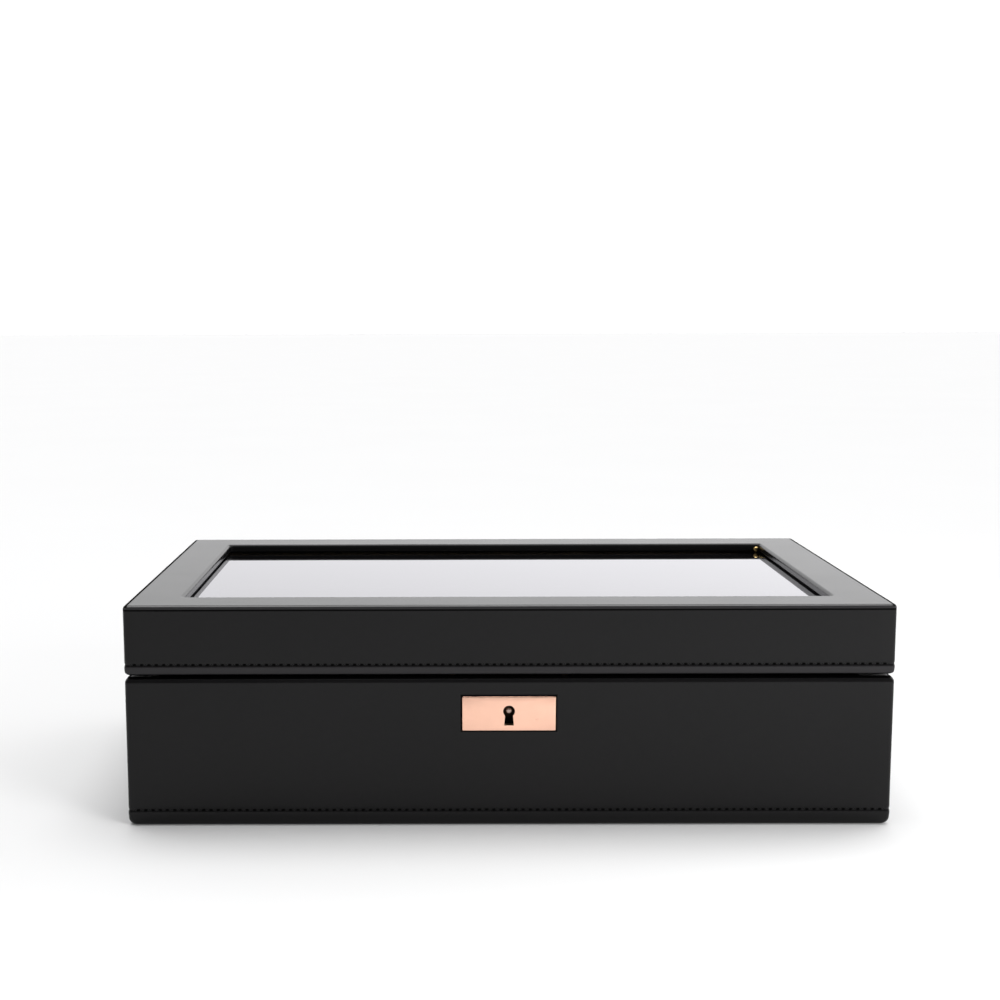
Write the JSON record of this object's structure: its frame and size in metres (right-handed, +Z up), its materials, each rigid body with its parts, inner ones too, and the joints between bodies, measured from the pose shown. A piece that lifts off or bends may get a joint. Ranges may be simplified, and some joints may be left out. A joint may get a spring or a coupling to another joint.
{
  "type": "watch box",
  "caption": "Leather-covered watch box with a hinged glazed lid, a keyed lock with a metal plate on the front, and padded pillows in lined compartments.",
  "frame": {"origin": "on the table plane, under the middle of the leather-covered box", "axes": "+X to the right along the width, the front with the lock faces -Y, +Z up"},
  "size_m": [0.32, 0.2059, 0.094],
  "materials": {
    "black_leather": "smooth, fine satin, near-black",
    "core_board": "raw fibreboard",
    "lining_suede": "short-napped suede cloth",
    "pillow_suede": "short-napped suede cloth over foam",
    "foot_felt": "pressed felt",
    "clear_glass": "clear float glass",
    "rose_gold": "satin rose-gold plating",
    "brass": "polished brass",
    "lock_steel": "nickel-plated steel"
  },
  "bodies": {
    "base": {"base_wall_front": "core_board", "base_wall_rear": "core_board", "base_wall_left": "core_board", "base_wall_right": "core_board", "base_floor": "core_board", "base_leather": "black_leather", "base_pad": "foot_felt", "base_lining_front": "lining_suede", "base_lining_rear": "lining_suede", "base_lining_left": "lining_suede", "base_lining_right": "lining_suede", "floor_lining": "lining_suede", "long_divider": "lining_suede", "cross_divider_1": "lining_suede", "cross_divider_2": "lining_suede", "cross_divider_3": "lining_suede", "cross_divider_4": "lining_suede", "lock_case": "lock_steel", "lock_cap_plate": "lock_steel", "lock_key_post": "lock_steel", "lock_plate": "rose_gold", "lock_screws": "lock_steel", "lock_detent_spring": "lock_steel", "hinge_left_base_leaf": "brass", "hinge_right_base_leaf": "brass", "hinge_left_pin": "brass", "hinge_right_pin": "brass", "hinge_base_screws": "brass"},
    "lid": {"lid_rail_front": "core_board", "lid_rail_rear": "core_board", "lid_rail_left": "core_board", "lid_rail_right": "core_board", "lid_leather": "black_leather", "lid_glass": "clear_glass", "lid_lining_front": "lining_suede", "lid_lining_rear": "lining_suede", "lid_lining_left": "lining_suede", "lid_lining_right": "lining_suede", "glazing_pin": "brass", "strike_plate": "lock_steel", "strike_screws": "lock_steel", "hinge_left_lid_leaf": "brass", "hinge_right_lid_leaf": "brass", "hinge_lid_screws": "brass"},
    "bolt": {"lock_bolt": "lock_steel"},
    "pillow_1": {"watch_pillow_1": "pillow_suede"},
    "pillow_2": {"watch_pillow_2": "pillow_suede"},
    "pillow_3": {"watch_pillow_3": "pillow_suede"},
    "pillow_4": {"watch_pillow_4": "pillow_suede"},
    "pillow_5": {"watch_pillow_5": "pillow_suede"},
    "pillow_6": {"watch_pillow_6": "pillow_suede"},
    "pillow_7": {"watch_pillow_7": "pillow_suede"},
    "pillow_8": {"watch_pillow_8": "pillow_suede"},
    "pillow_9": {"watch_pillow_9": "pillow_suede"},
    "pillow_10": {"watch_pillow_10": "pillow_suede"}
  },
  "joints": [
    {"name": "lid_hinge", "type": "hinge", "parent": "base", "child": "lid", "pos_m": [0, 0.1012, 0.0641], "axis": [-1, 0, 0], "range_deg": [0, 95]},
    {"name": "lock_slide", "type": "slide", "parent": "base", "child": "bolt", "axis": [1, 0, 0], "range_m": [0, 0.004]},
    {"name": "pillow_lift_01", "type": "slide", "parent": "base", "child": "pillow_1", "axis": [0, 0, 1], "range_m": [0, 0.032]},
    {"name": "pillow_lift_02", "type": "slide", "parent": "base", "child": "pillow_2", "axis": [0, 0, 1], "range_m": [0, 0.032]},
    {"name": "pillow_lift_03", "type": "slide", "parent": "base", "child": "pillow_3", "axis": [0, 0, 1], "range_m": [0, 0.032]},
    {"name": "pillow_lift_04", "type": "slide", "parent": "base", "child": "pillow_4", "axis": [0, 0, 1], "range_m": [0, 0.032]},
    {"name": "pillow_lift_05", "type": "slide", "parent": "base", "child": "pillow_5", "axis": [0, 0, 1], "range_m": [0, 0.032]},
    {"name": "pillow_lift_06", "type": "slide", "parent": "base", "child": "pillow_6", "axis": [0, 0, 1], "range_m": [0, 0.032]},
    {"name": "pillow_lift_07", "type": "slide", "parent": "base", "child": "pillow_7", "axis": [0, 0, 1], "range_m": [0, 0.032]},
    {"name": "pillow_lift_08", "type": "slide", "parent": "base", "child": "pillow_8", "axis": [0, 0, 1], "range_m": [0, 0.032]},
    {"name": "pillow_lift_09", "type": "slide", "parent": "base", "child": "pillow_9", "axis": [0, 0, 1], "range_m": [0, 0.032]},
    {"name": "pillow_lift_10", "type": "slide", "parent": "base", "child": "pillow_10", "axis": [0, 0, 1], "range_m": [0, 0.032]}
  ]
}
